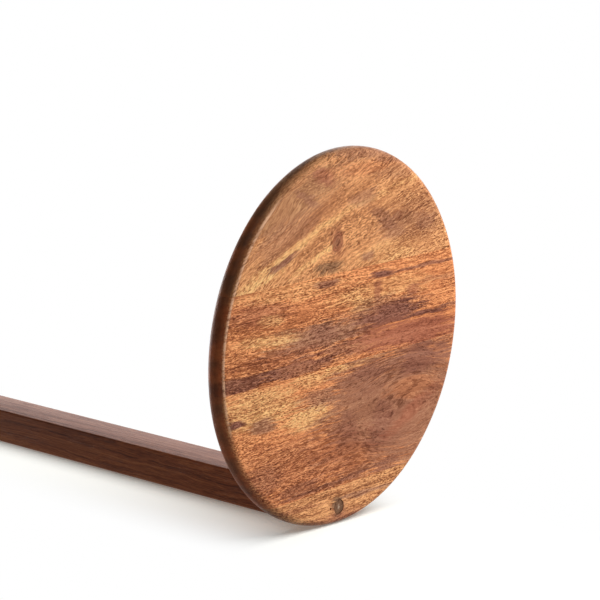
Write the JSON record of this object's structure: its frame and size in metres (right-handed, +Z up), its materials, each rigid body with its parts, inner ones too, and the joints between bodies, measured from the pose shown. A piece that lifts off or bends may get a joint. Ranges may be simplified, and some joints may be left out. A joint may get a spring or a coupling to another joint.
{
  "type": "paper towel holder",
  "caption": "Upright wooden paper towel holder: round glued-up base, rectangular post at its rim, arm above, and a turned lift pin that drops into the roll's core.",
  "frame": {"origin": "centre of the round base's underside", "axes": "+Z up along the roll's axis, +Y from the base's centre towards the post, +X across the holder"},
  "size_m": [0.2, 0.2, 0.345],
  "materials": {
    "stave_golden": "oiled, satin",
    "stave_orange": "oiled, satin",
    "stave_brown": "oiled, satin",
    "stave_pale": "oiled, satin",
    "dark_wood": "oiled, satin",
    "knob_wood": "oiled, satin",
    "wood_filler": "matt",
    "screw_steel": "zinc plated",
    "brad_steel": "plain"
  },
  "bodies": {
    "stand": {"base_stave_1": "stave_golden", "base_stave_2": "stave_orange", "base_stave_3": "stave_brown", "base_stave_4": "stave_pale", "base_boss": "dark_wood", "base_screw": "screw_steel", "base_plug": "wood_filler", "base_brad": "brad_steel", "post": "dark_wood", "arm": "dark_wood", "arm_screw": "screw_steel", "arm_plug": "wood_filler", "arm_brad": "brad_steel"},
    "lift": {"lift_pin": "dark_wood", "lift_knob": "knob_wood"}
  },
  "joints": [
    {"name": "pin_lift", "type": "slide", "parent": "stand", "child": "lift", "axis": [0, 0, 1], "range_m": [0, 0.024]}
  ]
}
